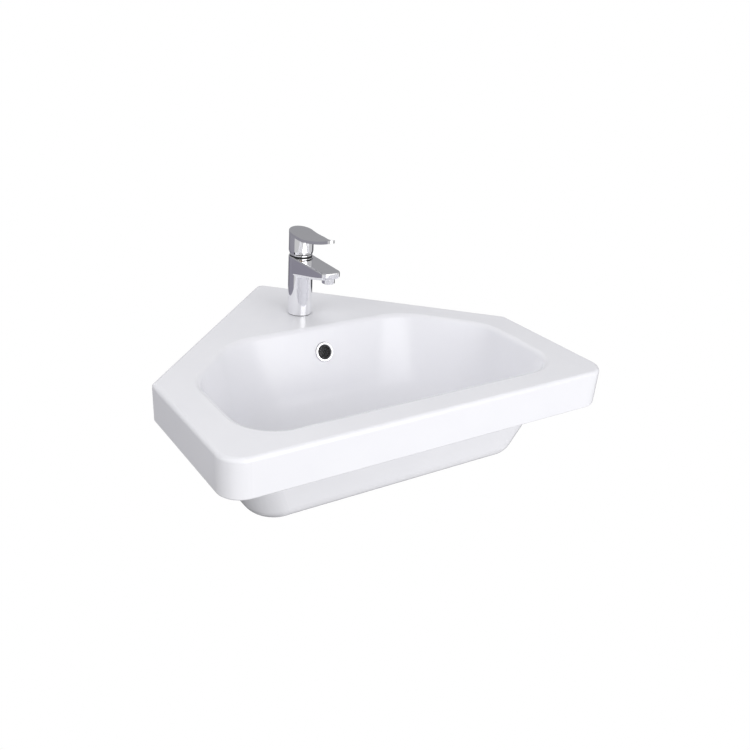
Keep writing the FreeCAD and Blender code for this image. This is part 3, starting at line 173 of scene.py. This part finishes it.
# The thread is only hinted at. Its relief takes the place of the plating's waviness, over the
# whole body and not the tail alone, and is about a hundredth of a millimetre deep.
WAVE_REPEAT = math.pi / 10  # metres from crest to crest of a wave texture whose scale is one
THREAD_PITCH = 0.00231
THREAD_RELIEF = 0.0012
THREAD_SHARE = -0.1915  # the part of the relief that is left, turned inwards
turns = add(
    tree,
    "TexWave",
    {"Vector": place, "Scale": WAVE_REPEAT / THREAD_PITCH},
    bands_direction="Z",
)
hint = add(
    tree, "Math", {0: turns.outputs["Fac"], 1: THREAD_SHARE}, operation="MULTIPLY"
)
add(tree, "Bump", {"Height": hint.outputs[0], "Distance": THREAD_RELIEF})
dress(waste_chrome, "waste_body")
dress(chromed("plated plug", "ececee", 0.07, 0.05), "plug_cap")

# The waste is made tight by a grey rubber ring under the flange and a black one under the boss,
# and drawn down by a brass nut that bears on a slippery nylon washer.
grey_rubber = moulded("grey rubber", "55565a", "616266", 0.0012, 0.7, 0.00008)
dress(grey_rubber, "waste_top_seal")
black_rubber = moulded("black rubber", "161617", "212123", 0.0011, 0.68, 0.0001)
dress(black_rubber, "waste_lower_seal", "plug_seal")
white_nylon = moulded("white nylon", "dddcd4", "e6e5de", 0.0025, 0.38, 0.00003)
dress(white_nylon, "waste_slip_washer")

STAIN_SIZE = 0.008
RING_DEPTH = 0.00004
WASTE_AXIS_Y = -0.355


def turned_metal(name, dark, light, tool_step, across, roughness):
    """Bare metal from the lathe: fine rings round an upright axis that stands at y = across."""
    material, tree, place = blank_finish(name)
    centred = add(tree, "Mapping", {"Vector": place, "Location": (0, -across, 0)})
    rings = add(
        tree,
        "TexWave",
        {
            "Vector": centred.outputs["Vector"],
            "Scale": WAVE_REPEAT / tool_step,
            "Distortion": 0.6,
            "Detail": 2.0,
        },
        wave_type="RINGS",
        rings_direction="Z",
    )
    stain = add(tree, "TexNoise", {"Vector": place, "Scale": 1 / STAIN_SIZE, "Detail": 5.0})
    tone = add(tree, "ValToRGB", {"Fac": stain.outputs["Fac"]})
    tone.color_ramp.elements[0].color = srgb(dark)
    tone.color_ramp.elements[1].color = srgb(light)
    shine = add(
        tree,
        "MapRange",
        {"Value": stain.outputs["Fac"], "To Min": roughness * 0.8, "To Max": roughness * 1.3},
    )
    lines = add(
        tree,
        "Bump",
        {"Height": rings.outputs["Fac"], "Strength": 0.25, "Distance": RING_DEPTH},
    )
    add(
        tree,
        "Principled BSDF",
        {
            "Base Color": tone.outputs["Color"],
            "Metallic": 1.0,
            "Roughness": shine.outputs["Result"],
            "Normal": lines.outputs["Normal"],
        },
    )
    return material


waste_brass = turned_metal(
    "brass of the waste nut", "c29a52", "d3b06c", 0.0005, WASTE_AXIS_Y, 0.3
)
dress(waste_brass, "waste_back_nut")


# ---------------------------------------------------------------- plug and its click sleeve
# The plug lifts on a nylon sleeve with a steel spring. Its stem is drawn steel, screwed into
# the cap, and a black rubber ring in a groove under the cap closes on the flange.
dress(white_nylon, "click_sleeve")

LINE_WIDTH = 0.0006
LINE_DEPTH = 0.00003


def drawn_steel(name, dark, light, stretch, roughness):
    """Plain steel with fine lines along the way it was drawn."""
    material, tree, place = blank_finish(name)
    drawn = add(tree, "Mapping", {"Vector": place, "Scale": stretch})
    lines = add(tree, "TexNoise", {"Vector": drawn.outputs["Vector"], "Scale": 1 / LINE_WIDTH})
    tone = add(tree, "ValToRGB", {"Fac": lines.outputs["Fac"]})
    tone.color_ramp.elements[0].color = srgb(dark)
    tone.color_ramp.elements[1].color = srgb(light)
    scored = add(
        tree,
        "Bump",
        {"Height": lines.outputs["Fac"], "Strength": 0.3, "Distance": LINE_DEPTH},
    )
    add(
        tree,
        "Principled BSDF",
        {
            "Base Color": tone.outputs["Color"],
            "Metallic": 1.0,
            "Roughness": roughness,
            "Normal": scored.outputs["Normal"],
        },
    )
    return material


upright_steel = drawn_steel("steel drawn upright", "a9aaad", "c0c1c4", (1, 1, 0.06), 0.28)
dress(upright_steel, "plug_stem", "click_spring")


# ---------------------------------------------------------------- tap
# The body and its spout are one brass casting, ground, polished and plated bright. The lever
# is a second casting that turns and tips on the cartridge, over a plated ring at the neck.
tap_chrome = chromed("polished tap chrome", "f9f9fb", 0.07, 0.004)
dress(tap_chrome, "tap_body", "handle", "neck_ring", "aerator_housing")
dress(black_rubber, "base_gasket")

# The lever is held by a steel grub screw behind a small plated cap.
dress(chromed("plated cap", "e4e4e6", 0.12, 0.05), "index_cap")
across_steel = drawn_steel("steel drawn across", "8f9094", "a6a7ab", (1, 0.06, 1), 0.32)
dress(across_steel, "grub_screw")


# ---------------------------------------------------------------- tap clamp
# Under the deck a threaded stud, a slotted steel plate on a rubber pad and a brass nut pull
# the tap down. The stud's thread takes the place of the drawn lines in its steel's relief.
STUD_PITCH = 0.001
STUD_RELIEF = 0.0006
STUD_AXIS_Y = -0.161
stud_steel = drawn_steel("threaded stud steel", "9b9c9f", "b4b5b8", (1, 1, 0.2), 0.3)
tree = stud_steel.node_tree
place = add(tree, "TexCoord").outputs["Object"]
turns = add(
    tree,
    "TexWave",
    {"Vector": place, "Scale": WAVE_REPEAT / STUD_PITCH},
    bands_direction="Z",
)
add(tree, "Bump", {"Height": turns.outputs["Fac"], "Distance": STUD_RELIEF})
dress(stud_steel, "tap_stud")
plate_steel = drawn_steel("rolled plate steel", "a0a1a4", "b7b8bb", (0.08, 1, 1), 0.35)
dress(plate_steel, "clamp_plate")
dress(black_rubber, "clamp_gasket")
clamp_brass = turned_metal(
    "brass of the clamp nut", "bf974f", "d0ac68", 0.0004, STUD_AXIS_Y, 0.32
)
dress(clamp_brass, "clamp_nut")


# ---------------------------------------------------------------- aerator
# The aerator's plated sleeve screws into the spout's nose on a rubber ring, and holds a grey
# moulded insert whose nine holes break the water into a soft stream.
grey_plastic = moulded("grey moulded plastic", "787a7d", "84868a", 0.0016, 0.4, 0.00004)
dress(grey_plastic, "aerator_insert")
dress(black_rubber, "aerator_seal")


# ---------------------------------------------------------------- cartridge
# The cartridge is a grey moulded housing clipped to its base. Two lapped alumina discs slide
# on each other in it, and rubber rings seal it in the body.
dress(grey_plastic, "cartridge_housing", "cartridge_base")
dress(black_rubber, "left_inlet_seal", "right_inlet_seal", "cartridge_o_ring")
alumina = moulded("lapped alumina", "e9e7de", "f1efe7", 0.0004, 0.22, 0.00001)
dress(alumina, "fixed_disc", "moving_disc")


# ---------------------------------------------------------------- turret and lever stem
# A nylon turret turns in the cartridge with a steel pin through it. The brass lever stem tips
# on the pin, and its ball moves a nylon carrier on the upper disc. A nut of unpolished brass,
# a little rougher than the tap's brass, holds the cartridge down. Its colour is darkened as
# painted shade for the gap under the handle.
TAP_AXIS_Y = -0.1485
dress(white_nylon, "turret", "disc_carrier")
dress(drawn_steel("steel of the pin", "a4a5a8", "b9babd", (0.06, 1, 1), 0.25), "stem_pin")
tap_brass = turned_metal("brass of the tap", "bd954e", "cfab66", 0.0004, TAP_AXIS_Y, 0.3)
dress(tap_brass, "lever_stem")
# The lock nut's darker brass colour is painted shade for the gap under the handle.
brass_in_painted_shade = turned_metal(
    "brass of the lock nut, in painted shade", "65543a", "75634a", 0.0004, TAP_AXIS_Y, 0.4
)
dress(brass_in_painted_shade, "lock_nut")


# ---------------------------------------------------------------- studio
# A white paper floor lies far below. It is pure white to the camera, so no shadow shows on it.
# All other rays get half of that glow and half of the lit paper.
FLOOR_SIZE = 14
FLOOR_LEVEL = -1.2
FIBRE_SIZE = 0.004
bpy.ops.object.select_all(action="DESELECT")
bpy.ops.mesh.primitive_plane_add(size=FLOOR_SIZE, location=(0, 0, FLOOR_LEVEL))
floor = bpy.context.object
floor.name = "paper_floor"
paper, tree, place = blank_finish("white paper")
fibres = add(tree, "TexNoise", {"Vector": place, "Scale": 1 / FIBRE_SIZE, "Detail": 6.0})
tone = add(tree, "ValToRGB", {"Fac": fibres.outputs["Fac"]})
tone.color_ramp.elements[0].color = srgb("87878a")
tone.color_ramp.elements[1].color = srgb("8f8f92")
lit = add(tree, "Principled BSDF", {"Base Color": tone.outputs["Color"], "Roughness": 0.9})
glow = add(tree, "Emission", {"Color": (1, 1, 1, 1), "Strength": 1.0})


def seen_directly(tree):
    """One for rays from the camera, and in effect one half for all others.

    Rays that metal or glass sends on should be one too, and the rest zero. Both calls of add
    for a Math node take the same node, though, and Blender drops its link to itself, so its
    second socket keeps the value of one half. The lamps are set in the light that this gives:
    a mend needs them set again.
    """
    path = add(tree, "LightPath")
    shiny = add(
        tree,
        "Math",
        {0: path.outputs["Is Glossy Ray"], 1: path.outputs["Is Transmission Ray"]},
        operation="MAXIMUM",
    )
    return add(
        tree,
        "Math",
        {0: path.outputs["Is Camera Ray"], 1: shiny.outputs[0]},
        operation="MAXIMUM",
    ).outputs[0]


mix = add(
    tree,
    "MixShader",
    {0: seen_directly(tree), 1: lit.outputs["BSDF"], 2: glow.outputs["Emission"]},
)
add(tree, "Material Output", {"Surface": mix.outputs["Shader"]})
floor.data.materials.append(paper)

# The room is white to the camera. Every other ray gets the level halfway from ROOM_LIGHT to
# one, which is 0.52, and that is also what the room lights the basin with.
ROOM_LIGHT = 0.04
world = bpy.data.worlds.new("studio")
bpy.context.scene.world = world
world.use_nodes = True
tree = world.node_tree
level = add(
    tree, "MapRange", {"Value": seen_directly(tree), "To Min": ROOM_LIGHT, "To Max": 1.0}
)
add(tree, "Background", {"Color": (1, 1, 1, 1), "Strength": level.outputs["Result"]})

# A half round grey screen stands behind the basin, out of every picture. Only metal and glaze
# see it, so the chrome has a grey side towards the walls, darkest low down on the right, and a
# brighter one towards the room.
SCREEN_RADIUS = 2.6
SCREEN_HEIGHT = 4.2
SCREEN_MIDDLE = 0.91
bpy.ops.object.select_all(action="DESELECT")
bpy.ops.mesh.primitive_cylinder_add(
    vertices=96,
    radius=SCREEN_RADIUS,
    depth=SCREEN_HEIGHT,
    end_fill_type="NGON",
    location=(0, 0, SCREEN_MIDDLE),
)
screen = bpy.context.object
screen.name = "grey_screen"
bpy.ops.object.mode_set(mode="EDIT")
bpy.ops.mesh.select_all(action="SELECT")
bpy.ops.mesh.bisect(plane_co=(0, 0, 0), plane_no=(0, -1, 0), clear_outer=True)
bpy.ops.object.mode_set(mode="OBJECT")
screen.visible_camera = False
screen.visible_diffuse = False
screen.visible_shadow = False

# The felt's tones change across and up the screen, in metres from the screen's own middle.
FELT_LEFT, FELT_RIGHT = -1.6, 1.4
FELT_LOW, FELT_HIGH = -1.7, -1.3
felt, tree, place = blank_finish("grey felt")
reach = add(tree, "SeparateXYZ", {"Vector": place})
sideways = add(
    tree,
    "MapRange",
    {"Value": reach.outputs["X"], "From Min": FELT_LEFT, "From Max": FELT_RIGHT},
)
low_tone = add(tree, "ValToRGB", {"Fac": sideways.outputs["Result"]})
low_tone.color_ramp.elements[0].color = srgb("8a8893")
low_tone.color_ramp.elements[1].color = srgb("3c3c42")
lift = add(
    tree,
    "MapRange",
    {"Value": reach.outputs["Z"], "From Min": FELT_LOW, "From Max": FELT_HIGH},
)

# On a mix of colours, inputs 6 and 7 are the two colours and output 2 is their mix.
felt_tone = add(
    tree,
    "Mix",
    {0: lift.outputs["Result"], 6: low_tone.outputs["Color"], 7: srgb("9c9c9f")},
    data_type="RGBA",
)
felt_glow = add(tree, "Emission", {"Color": felt_tone.outputs[2], "Strength": 1.0})
add(tree, "Material Output", {"Surface": felt_glow.outputs["Emission"]})
screen.data.materials.append(felt)

# A dark card lies under the left of the basin, out of the picture, and draws its lower left
# corner in shade.
CARD_SIZE = 0.8
CARD_PLACE = (-0.5, -0.35, -0.42)
PILE_SIZE = 0.003
bpy.ops.object.select_all(action="DESELECT")
bpy.ops.mesh.primitive_plane_add(size=CARD_SIZE, location=CARD_PLACE)
card = bpy.context.object
card.name = "dark_card"
card.visible_camera = False
card.visible_shadow = False
black_felt, tree, place = blank_finish("black felt")
pile = add(tree, "TexNoise", {"Vector": place, "Scale": 1 / PILE_SIZE, "Detail": 4.0})
tone = add(tree, "ValToRGB", {"Fac": pile.outputs["Fac"]})
tone.color_ramp.elements[0].color = srgb("0c0c0d")
tone.color_ramp.elements[1].color = srgb("161617")
add(tree, "Principled BSDF", {"Base Color": tone.outputs["Color"], "Roughness": 0.95})
card.data.materials.append(black_felt)

# A broad soft lamp in front, weaker ones overhead and at the left, and one behind that lights
# the front wall of the bowl from inside, which the tap mirrors. All aim at the basin's middle,
# and metal and glaze mirror only the front one. Sizes are in metres and powers in watts.
basin_middle = Vector((0, -0.3, 0))
for name, spot, size, power in (
    ("front_lamp", (0.3, -2.6, 0.35), 2.0, 31),
    ("top_lamp", (0.1, -1.5, 1.9), 1.8, 8),
    ("side_lamp", (-2.0, -0.7, 1.2), 1.5, 13),
    ("back_lamp", (0.3, 1.8, 1.4), 1.6, 20),
):
    bpy.ops.object.light_add(type="AREA", location=spot)
    lamp = bpy.context.object
    lamp.name = name
    lamp.data.size = size
    lamp.data.energy = power
    aim = basin_middle - Vector(spot)
    lamp.rotation_euler = aim.to_track_quat("-Z", "Y").to_euler()
    lamp.visible_glossy = name == "front_lamp"

# The camera stands where the straight edges of the basin in the photograph put it. Its place
# is counted from the middle of the deck's front edge, along its own three directions.
FRAME_PIXELS = 750
FOCAL_PIXELS = 891.546
SENSOR_WIDTH = 36
TO_RIGHT, BELOW, AWAY = 0.087364, 0.04496, 1.135888
front_middle = Vector((0, -0.533, 0))
right = Vector((0.838813, -0.541132, 0.059751))
up = Vector((0.179421, 0.378393, 0.90809))
ahead = Vector((0.514005, 0.750996, -0.414491))
turn = Matrix((right, up, -ahead)).transposed().to_4x4()
spot = front_middle - (right * TO_RIGHT - up * BELOW + ahead * AWAY)
bpy.ops.object.camera_add()
camera = bpy.context.object
camera.matrix_world = Matrix.Translation(spot) @ turn
camera.data.sensor_width = SENSOR_WIDTH
camera.data.lens = FOCAL_PIXELS / FRAME_PIXELS * SENSOR_WIDTH
bpy.context.scene.camera = camera
bpy.context.scene.view_settings.view_transform = "Standard"
